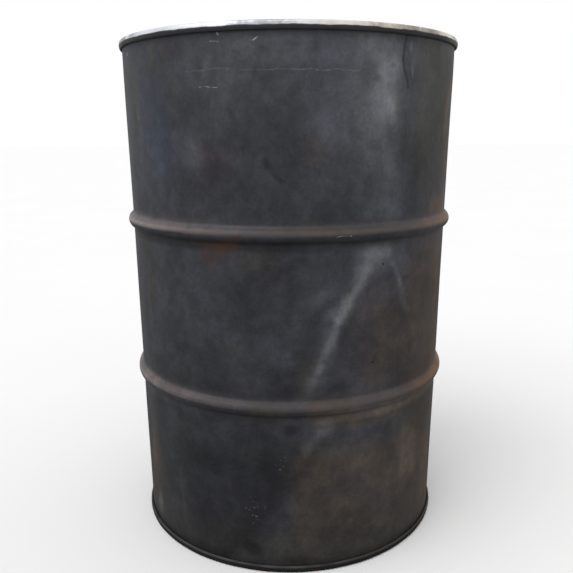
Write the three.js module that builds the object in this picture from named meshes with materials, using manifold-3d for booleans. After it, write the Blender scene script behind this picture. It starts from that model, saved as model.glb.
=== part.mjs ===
// A closed-head steel drum for oil, of about 216 litres: a rolled shell with two
// swaged rolling hoops, a pressed head folded into a double seam at each end, and
// two screwed closures in the top head. Millimetres, +Z up, origin on the floor
// under the middle of the drum.

import * as THREE from "three";
import { mergeVertices } from "three/addons/utils/BufferGeometryUtils.js";
import Module from "manifold-3d";

const wasm = await Module();
wasm.setup();

// ---- Driving dimensions ----

const HEIGHT = 876; // over both chimes
const BORE_RADIUS = 285.75; // inside of the shell, 22 1/2 inches across
const SHEET = 1.2; // thickness of the shell and of both heads
const GAP = 0.4; // clearance between the folded layers of a seam
const SIDES = 40; // facets round the drum

const HOOP_HEIGHTS = [303, 582]; // middle of each rolling hoop above the floor
const HOOP_DEPTH = 8.8; // how far a hoop stands out of the shell
const HOOP_HALF_WIDTH = 17; // from a hoop's middle to where it meets the shell
const HOOP_CREST_SHARE = 0.6; // part of the half width that the crest's arc takes

const COUNTERSINK = 19; // from the chime's top down to the head's panel
const CHIME_CORNER = 2; // bend radius of the two upper corners of a chime
const CHIME_FOLD_DEPTH = 10.6; // from the chime's top to the centre of its lower fold
const CHIME_BULGE = 0.5; // how far a chime's outer face bows outwards
const PANEL_CORNER = 5; // bend radius between the countersink wall and the panel
const COMPOUND_HEIGHT = 1; // of the ring of sealing compound inside a chime
const CENTRE_RADIUS = 150; // raised disc in the middle of a head
const CENTRE_RISE = 3;
const CENTRE_SLOPE = 8; // width of the slope round the raised disc

const CLOSURE_RADIUS = 216; // from the drum's axis to a closure's axis
const RUBBER_GAP = 0.3; // clearance left on each side of a gasket

// A two-inch and a three-quarter-inch pipe-thread closure, on opposite sides.
// Threads are plain cylinders at about their mean radius.
const CLOSURES = [
  {
    name: "large",
    x: -CLOSURE_RADIUS,
    boreRadius: 29.2,
    neckWall: 3.2,
    plateRadius: 43,
    bossRadius: 53,
    bossTopRadius: 48,
    lip: 2.6,
    rimRadius: 35.2,
    shankDepth: 15,
    lugLength: 10,
    lugWidth: 9,
  },
  {
    name: "small",
    x: CLOSURE_RADIUS,
    boreRadius: 12.9,
    neckWall: 2.6,
    plateRadius: 24,
    bossRadius: 32,
    bossTopRadius: 28,
    lip: 2.2,
    rimRadius: 18.4,
    shankDepth: 12.7,
    lugLength: 4,
    lugWidth: 5,
  },
];

const BOSS_RISE = 4.5; // a closure's pressed boss above the panel
const LIP_THICKNESS = 1.4; // a flange's crimped lip on top of its boss
const PLATE_THICKNESS = 3; // a flange's eight-sided base plate
const NECK_BELOW_PLATE = 4; // threaded neck that goes on under the base plate
const FLANGE_GASKET = 1.6; // thickness of the rubber under a boss
const FLANGE_GASKET_WIDTH = 5;
const PLUG_GASKET = 2.4; // thickness of the rubber under a plug's rim
const PLUG_GASKET_INSET = 1; // from a plug's rim in to its gasket's edge
const PLUG_RIM = 2.4; // thickness of a plug's rim
const RIM_EDGE = 0.8; // bevel round a plug's rim and its mouth
const LEAD_IN = 1.5; // bevel at the end of a plug's shank
const PLUG_CLEARANCE = 0.4; // between a plug's shank and its flange
const PLUG_WALL = 2.2;
const PLUG_FLOOR = 1.8;
const LUG_HEIGHT = 9; // wrench lugs on a plug's floor
const CLOSURE_SIDES = 24; // facets round a closure

// ---- Worked out from those ----

const SHELL_RADIUS = BORE_RADIUS + SHEET / 2; // middle of the shell's sheet
const LAYER = SHEET + GAP; // from one folded layer to the next
const CHUCK_RADIUS = SHELL_RADIUS - LAYER; // the head's wall inside the shell
const HEAD_HOOK_RADIUS = SHELL_RADIUS + LAYER;
const SHELL_HOOK_RADIUS = SHELL_RADIUS + 2 * LAYER;
const CHIME_RADIUS = SHELL_RADIUS + 3 * LAYER; // the chime's outer layer
const PANEL_TOP = HEIGHT - COUNTERSINK;
const BOSS_TOP = PANEL_TOP + BOSS_RISE;
const NECK_TOP = BOSS_TOP + RUBBER_GAP + LIP_THICKNESS;

// ---- Materials ----

const shellSteel = new THREE.MeshStandardMaterial({
  color: 0x4a4b50,
  roughness: 0.55,
  metalness: 0.7,
});
const headSteel = new THREE.MeshStandardMaterial({
  color: 0x55565a,
  roughness: 0.5,
  metalness: 0.75,
});
const zincSteel = new THREE.MeshStandardMaterial({
  color: 0x9a9890,
  roughness: 0.4,
  metalness: 0.85,
});
const blackRubber = new THREE.MeshStandardMaterial({
  color: 0x1c1c1c,
  roughness: 0.85,
  metalness: 0,
});
const seamCompound = new THREE.MeshStandardMaterial({
  color: 0x6b5a48,
  roughness: 0.8,
  metalness: 0,
});

// ---- Outlines, as (radius, height) points ----

const point = (radius, height) => new THREE.Vector2(radius, height);

// Points on an arc, from one angle to another in degrees, both ends included.
function arc(radius, height, bend, from, to, steps) {
  const points = [];
  for (let i = 0; i <= steps; i++) {
    const angle = THREE.MathUtils.degToRad(from + ((to - from) * i) / steps);
    points.push(point(radius + bend * Math.cos(angle), height + bend * Math.sin(angle)));
  }
  return points;
}

// The line a bent sheet follows, moved sideways by a distance to its left.
function offsetLine(line, distance) {
  const leftOf = (a, b) => {
    const along = b.clone().sub(a).normalize();
    return point(-along.y, along.x);
  };
  return line.map((p, i) => {
    const before = leftOf(line[Math.max(i - 1, 0)], line[Math.max(i, 1)]);
    const last = line.length - 1;
    const after = leftOf(line[Math.min(i, last - 1)], line[Math.min(i + 1, last)]);
    const mitre = before.add(after);
    return p.clone().addScaledVector(mitre, (2 * distance) / mitre.lengthSq());
  });
}

// A sheet of even thickness along a line, as one outline that closes on itself.
function sheetOutline(line, thickness) {
  const left = offsetLine(line, thickness / 2);
  const right = offsetLine(line, -thickness / 2);
  const outline = [...right, ...left.reverse()];
  if (line[0].x > 0) outline.push(outline[0].clone());
  return outline;
}

const upsideDown = (line) => line.map((p) => point(p.x, HEIGHT - p.y));

// ---- Solids ----

// Turns an outline round the Z axis.
function turned(outline, sides) {
  return new THREE.LatheGeometry(outline, sides).rotateX(Math.PI / 2);
}

function toSolid(geometry) {
  const bare = geometry.index ? geometry.toNonIndexed() : geometry.clone();
  bare.deleteAttribute("normal");
  bare.deleteAttribute("uv");
  const merged = mergeVertices(bare, 1e-3);
  return new wasm.Manifold(
    new wasm.Mesh({
      numProp: 3,
      vertProperties: merged.attributes.position.array,
      triVerts: new Uint32Array(merged.index.array),
    }),
  );
}

function toGeometry(solid) {
  const { vertProperties, triVerts } = solid.getMesh();
  return new THREE.BufferGeometry()
    .setAttribute("position", new THREE.BufferAttribute(vertProperties, 3))
    .setIndex(new THREE.BufferAttribute(triVerts, 1));
}

// An upright cylinder or taper between two heights, with its axis at x.
function upright(bottomRadius, topRadius, bottom, top, sides, x = 0) {
  const geometry = new THREE.CylinderGeometry(topRadius, bottomRadius, top - bottom, sides)
    .rotateX(Math.PI / 2)
    .rotateZ(Math.PI / sides)
    .translate(x, 0, (top + bottom) / 2);
  return toSolid(geometry);
}

function ring(inner, outer, bottom, top, sides) {
  return turned(
    [
      point(inner, bottom),
      point(outer, bottom),
      point(outer, top),
      point(inner, top),
      point(inner, bottom),
    ],
    sides,
  );
}

// ---- Shell ----

// The sheet's line through one hoop, from below it to above it.
function hoopLine(middle) {
  const slope = 2 * Math.atan(HOOP_DEPTH / HOOP_HALF_WIDTH);
  const degrees = THREE.MathUtils.radToDeg(slope);
  const crestBend = (HOOP_CREST_SHARE * HOOP_HALF_WIDTH) / Math.sin(slope);
  const footBend = ((1 - HOOP_CREST_SHARE) * HOOP_HALF_WIDTH) / Math.sin(slope);
  const footRadius = SHELL_RADIUS + footBend;
  const crestRadius = SHELL_RADIUS + HOOP_DEPTH - crestBend;
  return [
    ...arc(footRadius, middle - HOOP_HALF_WIDTH, footBend, 180, 180 - degrees, 1),
    ...arc(crestRadius, middle, crestBend, -degrees, degrees, 4).slice(1, -1),
    ...arc(footRadius, middle + HOOP_HALF_WIDTH, footBend, 180 + degrees, 180, 1),
  ];
}

// The shell's edge, folded out and down over the head's hook.
function shellHook() {
  const foldHeight = HEIGHT - SHEET - GAP - SHEET / 2 - LAYER;
  const end = HEIGHT - CHIME_FOLD_DEPTH + GAP;
  return [
    ...arc(HEAD_HOOK_RADIUS, foldHeight, LAYER, 180, 0, 3),
    point(SHELL_HOOK_RADIUS, end),
  ];
}

function shell() {
  const top = shellHook();
  const bottom = upsideDown(top).reverse();
  const line = [...bottom, ...HOOP_HEIGHTS.flatMap(hoopLine), ...top];
  return turned(sheetOutline(line, SHEET), SIDES);
}

// ---- Heads ----

// From the axis out across the panel, up the countersink wall, over the shell's
// edge and back up inside the shell's hook.
function headLine() {
  const panel = PANEL_TOP - SHEET / 2;
  const corner = CHIME_CORNER;
  const ridge = HEIGHT - SHEET / 2;
  const fold = HEIGHT - CHIME_FOLD_DEPTH;
  return [
    point(0, panel + CENTRE_RISE),
    point(CENTRE_RADIUS - CENTRE_SLOPE, panel + CENTRE_RISE),
    point(CENTRE_RADIUS, panel),
    ...arc(CHUCK_RADIUS - PANEL_CORNER, panel + PANEL_CORNER, PANEL_CORNER, -90, 0, 2),
    ...arc(CHUCK_RADIUS + corner, ridge - corner, corner, 180, 90, 1),
    ...arc(CHIME_RADIUS - corner, ridge - corner, corner, 90, 0, 1),
    point(CHIME_RADIUS + CHIME_BULGE, (ridge - corner + fold) / 2),
    ...arc(SHELL_HOOK_RADIUS, fold, LAYER, 0, -180, 3),
    point(HEAD_HOOK_RADIUS, HEIGHT - CHIME_FOLD_DEPTH / 2),
  ];
}

function topHead() {
  let head = toSolid(turned(sheetOutline(headLine(), SHEET), SIDES));
  const underside = PANEL_TOP - SHEET;
  for (const c of CLOSURES) {
    const taper = (c.bossRadius - c.bossTopRadius) / BOSS_RISE;
    const boss = upright(
      c.bossRadius + taper * SHEET, c.bossTopRadius, underside, BOSS_TOP, 8, c.x);
    const hollow = upright(
      c.bossRadius + taper * SHEET - SHEET, c.bossTopRadius - SHEET,
      underside - SHEET, BOSS_TOP - SHEET, 8, c.x);
    const holeRadius = c.boreRadius + c.neckWall + GAP;
    const hole = upright(holeRadius, holeRadius, underside, BOSS_TOP + 1, CLOSURE_SIDES, c.x);
    head = head.add(boss).subtract(hollow).subtract(hole);
  }
  return toGeometry(head);
}

function bottomHead() {
  return turned(sheetOutline(upsideDown(headLine()), SHEET), SIDES);
}

// Sealing compound squeezed into the shell's fold, past the edge of the head's hook.
function compound(atBottom) {
  const halfWidth = LAYER - SHEET / 2 - RUBBER_GAP;
  const depth = CHIME_FOLD_DEPTH / 2 - RUBBER_GAP; // from the chime's edge
  const low = atBottom ? depth - COMPOUND_HEIGHT : HEIGHT - depth;
  const inner = HEAD_HOOK_RADIUS - halfWidth;
  return ring(inner, inner + 2 * halfWidth, low, low + COMPOUND_HEIGHT, SIDES);
}

// ---- Closures, each in its own frame with its axis on Z ----

function flange(c) {
  const neckRadius = c.boreRadius + c.neckWall;
  const plateTop = BOSS_TOP - SHEET - 2 * RUBBER_GAP - FLANGE_GASKET;
  const plateBottom = plateTop - PLATE_THICKNESS;
  const neck = [
    point(c.boreRadius, plateBottom - NECK_BELOW_PLATE),
    point(neckRadius, plateBottom - NECK_BELOW_PLATE),
    point(neckRadius, BOSS_TOP + RUBBER_GAP),
    point(neckRadius + c.lip, BOSS_TOP + RUBBER_GAP),
    point(neckRadius + c.lip, NECK_TOP - LIP_THICKNESS / 2),
    point(neckRadius + c.lip / 2, NECK_TOP),
    point(c.boreRadius, NECK_TOP),
    point(c.boreRadius, plateBottom - NECK_BELOW_PLATE),
  ];
  const plate = upright(c.plateRadius, c.plateRadius, plateBottom, plateTop, 8);
  const middleOfNeck = neckRadius - c.neckWall / 2;
  const opening = upright(
    middleOfNeck, middleOfNeck, plateBottom - 1, plateTop + 1, CLOSURE_SIDES);
  return toGeometry(toSolid(turned(neck, CLOSURE_SIDES)).add(plate.subtract(opening)));
}

function flangeGasket(c) {
  const inner = c.boreRadius + c.neckWall + RUBBER_GAP;
  const top = BOSS_TOP - SHEET - RUBBER_GAP;
  return ring(inner, inner + FLANGE_GASKET_WIDTH, top - FLANGE_GASKET, top, CLOSURE_SIDES);
}

function plugGasket(c) {
  const bottom = NECK_TOP + RUBBER_GAP;
  const outer = c.rimRadius - PLUG_GASKET_INSET;
  return ring(c.boreRadius, outer, bottom, bottom + PLUG_GASKET, CLOSURE_SIDES);
}

// A pressed cup with a rim, and two lugs inside that a bung wrench turns.
function plug(c) {
  const shank = c.boreRadius - PLUG_CLEARANCE;
  const inside = shank - PLUG_WALL;
  const rimBottom = NECK_TOP + 2 * RUBBER_GAP + PLUG_GASKET;
  const rimTop = rimBottom + PLUG_RIM;
  const bottom = NECK_TOP - c.shankDepth;
  const floor = bottom + PLUG_FLOOR;
  const cup = [
    point(0, bottom),
    point(shank - LEAD_IN, bottom),
    point(shank, bottom + LEAD_IN),
    point(shank, rimBottom),
    point(c.rimRadius, rimBottom),
    point(c.rimRadius, rimTop - RIM_EDGE),
    point(c.rimRadius - RIM_EDGE, rimTop),
    point(inside + RIM_EDGE, rimTop),
    point(inside, rimTop - RIM_EDGE),
    point(inside, floor),
    point(0, floor),
  ];
  let made = toSolid(turned(cup, CLOSURE_SIDES));
  for (const side of [-1, 1]) {
    const start = inside - c.lugLength;
    const end = inside + PLUG_WALL / 2;
    const lug = new THREE.BoxGeometry(end - start, c.lugWidth, LUG_HEIGHT + PLUG_FLOOR / 2)
      .translate((side * (start + end)) / 2, 0, floor + LUG_HEIGHT / 2 - PLUG_FLOOR / 4);
    made = made.add(toSolid(lug));
  }
  return toGeometry(made);
}

// ---- The drum ----

const drum = new THREE.Group();

function addPart(parent, name, geometry, material) {
  const mesh = new THREE.Mesh(geometry, material);
  mesh.name = name;
  parent.add(mesh);
}

addPart(drum, "shell", shell(), shellSteel);
addPart(drum, "top_head", topHead(), headSteel);
addPart(drum, "bottom_head", bottomHead(), headSteel);
addPart(drum, "top_seam_compound", compound(false), seamCompound);
addPart(drum, "bottom_seam_compound", compound(true), seamCompound);

for (const c of CLOSURES) {
  const closure = new THREE.Group();
  closure.position.x = c.x;
  drum.add(closure);
  addPart(closure, `${c.name}_flange`, flange(c), zincSteel);
  addPart(closure, `${c.name}_flange_gasket`, flangeGasket(c), blackRubber);
  addPart(closure, `${c.name}_plug_gasket`, plugGasket(c), blackRubber);
  addPart(closure, `${c.name}_plug`, plug(c), zincSteel);
}

export default drum;
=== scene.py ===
"""A closed-head steel drum, darkened by heat and weather, standing on a pale floor.

Lengths are in metres and angles in radians, unless a name says otherwise. A place on the
drum's wall is (degrees, millimetres): the angle from the front, positive towards +X, and
the height above the floor.
"""

import math

import bmesh
import bpy
import numpy as np
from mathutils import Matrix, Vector
from mathutils.geometry import delaunay_2d_cdt


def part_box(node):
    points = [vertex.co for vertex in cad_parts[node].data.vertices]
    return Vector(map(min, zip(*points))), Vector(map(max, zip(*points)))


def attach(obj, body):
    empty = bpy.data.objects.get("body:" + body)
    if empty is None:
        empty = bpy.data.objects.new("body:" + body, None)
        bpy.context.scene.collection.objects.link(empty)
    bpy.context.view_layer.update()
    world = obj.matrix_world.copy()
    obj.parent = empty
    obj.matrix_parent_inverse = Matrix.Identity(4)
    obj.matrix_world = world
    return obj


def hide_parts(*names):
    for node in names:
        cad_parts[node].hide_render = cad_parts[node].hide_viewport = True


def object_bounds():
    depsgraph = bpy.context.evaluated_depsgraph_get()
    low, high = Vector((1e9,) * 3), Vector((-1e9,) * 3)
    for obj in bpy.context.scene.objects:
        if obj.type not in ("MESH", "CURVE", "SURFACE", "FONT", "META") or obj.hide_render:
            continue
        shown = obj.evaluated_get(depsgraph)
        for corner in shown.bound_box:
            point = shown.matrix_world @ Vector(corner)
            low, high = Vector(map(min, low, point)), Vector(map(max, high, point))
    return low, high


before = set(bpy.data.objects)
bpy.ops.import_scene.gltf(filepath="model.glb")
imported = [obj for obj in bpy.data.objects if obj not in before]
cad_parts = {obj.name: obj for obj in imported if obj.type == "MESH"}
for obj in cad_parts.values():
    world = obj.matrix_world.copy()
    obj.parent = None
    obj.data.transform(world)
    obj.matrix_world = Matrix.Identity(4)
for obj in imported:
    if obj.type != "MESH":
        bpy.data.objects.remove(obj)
CAD_BOX = [list(corner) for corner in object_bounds()]

# ---- Sizes ----

MM = 0.001
HEIGHT = CAD_BOX[1][2]
HOOP_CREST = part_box("shell")[1].x
CHIME_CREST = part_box("top_head")[1].x

SHEET = 1.2 * MM
GAP = 0.4 * MM
BORE = 285.75 * MM
WALL = BORE + SHEET  # outside of the shell
SHELL_LINE = BORE + SHEET / 2  # middle of the shell's sheet
LAYER = SHEET + GAP
HEAD_HOOK_LINE = SHELL_LINE + LAYER
SHELL_HOOK_LINE = SHELL_LINE + 2 * LAYER
CHIME_LINE = SHELL_LINE + 3 * LAYER
CHIME_BULGE = CHIME_CREST - SHEET / 2 - CHIME_LINE

LOW_HOOP, HIGH_HOOP = 303, 582  # in millimetres
HOOP_HEIGHTS = (LOW_HOOP * MM, HIGH_HOOP * MM)
HOOP_DEPTH = HOOP_CREST - SHEET / 2 - SHELL_LINE
HOOP_HALF_WIDTH = 17 * MM
HOOP_CREST_SHARE = 0.6

CHIME_CORNER = (CHIME_LINE - SHELL_LINE + LAYER) / 2  # its top is a full half round
CHIME_FOLD_DEPTH = 10.6 * MM
PANEL_TOP = HEIGHT - 19 * MM
PANEL_CORNER = 5 * MM
PANEL_EDGE = SHELL_LINE - LAYER - PANEL_CORNER  # where the panel bends up into its wall
CENTRE_RADIUS = 150 * MM
CENTRE_SLOPE = 8 * MM
CENTRE_RISE = 3 * MM

BOSS_RISE = 4.5 * MM
BOSS_TOP = PANEL_TOP + BOSS_RISE
RUBBER_GAP = 0.3 * MM
LIP_THICKNESS = 1.4 * MM
NECK_TOP = BOSS_TOP + RUBBER_GAP + LIP_THICKNESS
PLATE_THICKNESS = 3 * MM  # a flange's eight-sided base plate
FLANGE_GASKET_THICKNESS = 1.6 * MM
RIM_THICKNESS = 2.4 * MM  # a plug's rim
CUP_WALL = 2.2 * MM
CUP_FLOOR = 1.8 * MM
PLUG_PLAY = 0.4 * MM  # from a flange's bore to its plug's shank
LUG_HEIGHT = 9 * MM
THREAD_DEPTH = 0.55 * MM  # each side of its mean radius

TURN = 2 * math.pi
ROUND = np.linspace(0, TURN, 360, endpoint=False)
SMALL_ROUND = np.linspace(0, TURN, 120, endpoint=False)
SEAM_DEGREES = 37.1  # the shell's side weld
SHARP = math.radians(32)  # an edge that turns more than this is shaded as an edge


class Closure:
    """One screwed closure's sizes, from its flange's and its plug's CAD boxes."""

    def __init__(self, name, bore, neck_wall, lip, boss, boss_top, pitch, lug_length, lug_width):
        low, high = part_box(f"{name}_flange")
        plug_low, plug_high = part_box(f"{name}_plug")
        self.name = name
        self.x = (low.x + high.x) / 2
        self.flange_bottom = low.z
        self.plate = (high.x - low.x) / 2
        self.bore = bore * MM
        self.neck = self.bore + neck_wall * MM
        self.lip = lip * MM
        self.boss = boss * MM
        self.boss_top = boss_top * MM
        self.pitch = pitch * MM
        self.rim = (plug_high.y - plug_low.y) / 2
        self.plug_bottom = plug_low.z
        self.plug_top = plug_high.z
        self.lug_length = lug_length * MM
        self.lug_width = lug_width * MM


# Pipe threads of 2 inches and 3/4 inch: 11 and 14 turns to the inch.
CLOSURES = (
    Closure("large", 29.2, 3.2, 2.6, 49.0, 44.0, 25.4 / 11, 10, 9),
    Closure("small", 12.9, 2.6, 2.2, 29.6, 25.6, 25.4 / 14, 4, 5),
)


# ---- Outlines, as rows of (radius, height) ----


def arc(radius, height, bend, start, end, steps):
    """Points on an arc, from one angle to another in degrees, both ends included."""
    a = np.radians(np.linspace(start, end, steps + 1))
    return np.column_stack([radius + bend * np.cos(a), height + bend * np.sin(a)])


def straight(start, end, step):
    """Points along a straight line, both ends included, about a step apart."""
    start, end = np.array(start), np.array(end)
    count = max(1, round(float(np.linalg.norm(end - start)) / step))
    return start + (end - start) * np.linspace(0, 1, count + 1)[:, None]


def joined(*lines):
    """One line through several, without repeated points."""
    line = np.vstack(lines)
    apart = np.linalg.norm(np.diff(line, axis=0), axis=1) > 1e-7
    return line[np.concatenate([[True], apart])]


def offset_line(line, distance):
    """The line moved sideways by a distance to its left."""
    along = np.diff(line, axis=0)
    along /= np.linalg.norm(along, axis=1)[:, None]
    left = np.column_stack([-along[:, 1], along[:, 0]])
    before = np.vstack([left[:1], left])
    after = np.vstack([left, left[-1:]])
    mitre = before + after
    return line + mitre * (2 * distance / (mitre**2).sum(axis=1))[:, None]


def sheet_outline(line, thickness=SHEET):
    """A sheet of even thickness along a line: down one side and back up the other."""
    return np.vstack([offset_line(line, -thickness / 2), offset_line(line, thickness / 2)[::-1]])


def upside_down(line):
    return np.column_stack([line[:, 0], HEIGHT - line[:, 1]])


# ---- Meshes ----


def turned(outline, angles, nudge=None, closed=True, axis_x=0.0):
    """(vertices, faces) of an outline turned about an upright axis.

    nudge(radius, angle, height) gives each point's new radius, in the drum's own frame,
    with the angle measured from the front. An outline with both ends on the axis closes
    there; any other closes on itself, unless closed is False.
    """
    count = len(angles)
    vertices, rings = [], []
    for radius, height in outline:
        if radius < 1e-6:
            rings.append(np.full(count, len(vertices)))
            vertices.append((axis_x, 0.0, height))
            continue
        radii = np.full(count, radius)
        if nudge:
            radii = nudge(radii, angles, np.full(count, height))
        rings.append(np.arange(count) + len(vertices))
        points = zip(axis_x + radii * np.sin(angles), -radii * np.cos(angles))
        vertices.extend((x, y, height) for x, y in points)
    on_axis = outline[0][0] < 1e-6 and outline[-1][0] < 1e-6
    pairs = list(zip(rings, rings[1:]))
    if closed and not on_axis:
        pairs.append((rings[-1], rings[0]))
    faces = []
    for low, high in pairs:
        for i in range(count):
            j = (i + 1) % count
            corners = [low[i], low[j], high[j], high[i]]
            faces.append([int(c) for k, c in enumerate(corners) if c != corners[k - 1]])
    return vertices, faces


def piece(name, meshes, material, body, stands_for):
    """A finished piece of the drum, from one or more (vertices, faces) that are welded."""
    bm = bmesh.new()
    for vertices, faces in meshes:
        made = [bm.verts.new(v) for v in vertices]
        for face in faces:
            bm.faces.new([made[i] for i in face])
    bmesh.ops.remove_doubles(bm, verts=bm.verts, dist=1e-6)
    bmesh.ops.recalc_face_normals(bm, faces=bm.faces)
    mesh = bpy.data.meshes.new(name)
    bm.to_mesh(mesh)
    bm.free()
    mesh.shade_smooth()
    mesh.set_sharp_from_angle(angle=SHARP)
    obj = bpy.data.objects.new(name, mesh)
    bpy.context.collection.objects.link(obj)
    mesh.materials.append(material)
    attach(obj, body)
    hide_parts(stands_for)
    return obj


def smoothstep(value, low, high):
    t = np.clip((value - low) / (high - low), 0, 1)
    return t * t * (3 - 2 * t)


# ---- Shell ----


def hoop_line(middle):
    """The shell's line through one hoop, from below it to above it."""
    slope = 2 * math.atan(HOOP_DEPTH / HOOP_HALF_WIDTH)
    degrees = math.degrees(slope)
    crest_bend = HOOP_CREST_SHARE * HOOP_HALF_WIDTH / math.sin(slope)
    foot_bend = (1 - HOOP_CREST_SHARE) * HOOP_HALF_WIDTH / math.sin(slope)
    foot = SHELL_LINE + foot_bend
    crest = SHELL_LINE + HOOP_DEPTH - crest_bend
    return joined(
        arc(foot, middle - HOOP_HALF_WIDTH, foot_bend, 180, 180 - degrees, 5),
        arc(crest, middle, crest_bend, -degrees, degrees, 12),
        arc(foot, middle + HOOP_HALF_WIDTH, foot_bend, 180 + degrees, 180, 5),
    )


def shell_line():
    """The shell's line from its bottom hook to its top one."""
    fold = HEIGHT - SHEET - GAP - SHEET / 2 - LAYER
    end = HEIGHT - CHIME_FOLD_DEPTH + GAP
    hook = np.vstack([
        arc(HEAD_HOOK_LINE, fold, LAYER, 180, 0, 6),
        [(SHELL_HOOK_LINE, end)],
    ])
    lines = [upside_down(hook)[::-1]]
    for middle in HOOP_HEIGHTS:
        hoop = hoop_line(middle)
        lines += [straight(lines[-1][-1], hoop[0], 13 * MM), hoop]
    lines += [straight(lines[-1][-1], hook[0], 13 * MM), hook]
    return joined(*lines)


def turn_apart(angle, degrees):
    """How far, in degrees either way, an angle is from another."""
    return (np.degrees(angle) - degrees + 180) % 360 - 180


def hollow(angle, height, degrees, millimetres, wide, tall):
    """From 0 to 1, a round-bottomed dent on the wall, wide and tall in millimetres."""
    across = turn_apart(angle, degrees) * math.radians(1) * WALL / (wide / 2 * MM)
    up = (height - millimetres * MM) / (tall / 2 * MM)
    return np.exp(-2 * (across**2 + up**2))


# Dents, as (degrees, millimetres up, width, height, depth in millimetres).
DENTS = (
    (-38, 579, 44, 9, 2.0),
    (-34, 582, 9, 9, 1.6),
    (16, 577, 40, 10, 0.8),
    (-5, 690, 110, 150, 0.8),
    (24, 480, 90, 170, 0.9),
    (-58, 140, 80, 90, 1.5),
    (58, 700, 110, 150, 1.0),
    (118, 420, 130, 120, 3.0),
    (-128, 700, 90, 160, 2.4),
    (172, 180, 160, 110, 2.6),
    (-165, 578, 40, 14, 2.4),
    (96, 300, 34, 14, 2.0),
    (-96, 470, 60, 150, 1.6),
)

# The crease beside the weld, below the rim, as (degrees, millimetres up).
CREASE = ((37.0, 866), (36.3, 830), (37.0, 815), (38.4, 795))


def shell_nudge(radius, angle, height):
    """Waves, dents, the side weld and a crease in the shell's wall."""
    free = smoothstep(height, 14 * MM, 60 * MM) * smoothstep(-height, 14 * MM - HEIGHT, 60 * MM - HEIGHT)
    wave = np.sin(3 * angle + 1.3) * np.sin(11 * height + 0.7)
    wave += 0.6 * np.sin(7 * angle - 9 * height) + 0.35 * np.sin(13 * angle + 23 * height + 2)
    change = 0.35 * MM * wave
    for degrees, millimetres, wide, tall, deep in DENTS:
        change -= deep * MM * hollow(angle, height, degrees, millimetres, wide, tall)
    off_seam = turn_apart(angle, SEAM_DEGREES) * math.radians(1) * WALL
    change += 0.22 * MM * smoothstep(-np.abs(off_seam), -4 * MM, -2.6 * MM)
    levels, places = zip(*[(millimetres * MM, degrees) for degrees, millimetres in CREASE[::-1]])
    off_crease = turn_apart(angle, np.interp(height, levels, places)) * math.radians(1) * WALL
    run = smoothstep(height, 785 * MM, 805 * MM)
    change -= 2.2 * MM * run * np.exp(-((off_crease + 1.5 * MM) / (4.5 * MM)) ** 2)
    change += 1.0 * MM * run * np.exp(-((off_crease - 7 * MM) / (5 * MM)) ** 2)
    return radius + change * free


def shell_angles():
    """Angles for the shell: even steps, and finer ones at its weld."""
    seam = math.radians(SEAM_DEGREES)
    fine = seam + np.radians(np.linspace(-2.6, 2.6, 27))
    return np.unique(np.concatenate([ROUND[np.abs(ROUND - seam) > math.radians(2.9)], fine]))


# ---- Heads ----


def rim_line():
    """A head's line from the edge of its panel, over the chime, to its hook's end."""
    panel = PANEL_TOP - SHEET / 2
    wall = SHELL_LINE - LAYER
    ridge = HEIGHT - SHEET / 2
    fold = HEIGHT - CHIME_FOLD_DEPTH
    corner = CHIME_CORNER
    shoulder = ridge - corner
    t = np.linspace(0, 1, 9)[1:-1]
    face = np.column_stack([
        CHIME_LINE + CHIME_BULGE * 4 * t * (1 - t),
        shoulder + (fold - shoulder) * t,
    ])
    return joined(
        arc(wall - PANEL_CORNER, panel + PANEL_CORNER, PANEL_CORNER, -90, 0, 8),
        arc(wall + corner, shoulder, corner, 180, 90, 6),
        arc(CHIME_LINE - corner, shoulder, corner, 90, 0, 6),
        face,
        arc(SHELL_HOOK_LINE, fold, LAYER, 0, -180, 10),
        [(HEAD_HOOK_LINE, HEIGHT - CHIME_FOLD_DEPTH / 2)],
    )


def chime_nudge(radius, angle, height):
    """A chime is never quite true: slow waves round it."""
    edge = smoothstep(radius, PANEL_EDGE + 8 * MM, CHIME_LINE)
    wave = 0.25 * np.sin(5 * angle + 0.4) + 0.18 * np.sin(11 * angle + 2) + 0.1 * np.sin(29 * angle)
    return radius + (wave - 0.45) * MM * edge


def panel_height(x, y):
    """The top of the top head's panel, with its raised centre and its closures' bosses."""
    radius = np.hypot(x, y)
    height = PANEL_TOP + CENTRE_RISE * smoothstep(-radius, -CENTRE_RADIUS, CENTRE_SLOPE - CENTRE_RADIUS)
    still = smoothstep(-radius, -PANEL_EDGE, 40 * MM - PANEL_EDGE)
    for c in CLOSURES:
        flats = [np.radians(45 * k) for k in range(8)]
        across = sum(np.maximum((x - c.x) * np.cos(a) + y * np.sin(a), 0) ** 20 for a in flats)
        across **= 1 / 20
        height += BOSS_RISE * smoothstep(-across, -c.boss - 1.2 * MM, 0.6 * MM - c.boss_top)
        still = still * smoothstep(np.hypot(x - c.x, y), c.boss, c.boss + 40 * MM)
    wave = np.sin(21 * x + 3) * np.sin(17 * y + 1) + 0.6 * np.sin(9 * x - 13 * y)
    return height + 0.5 * MM * wave * still


def hole_radius(c):
    """The hole in the head for a closure's neck."""
    return c.neck + GAP


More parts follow.
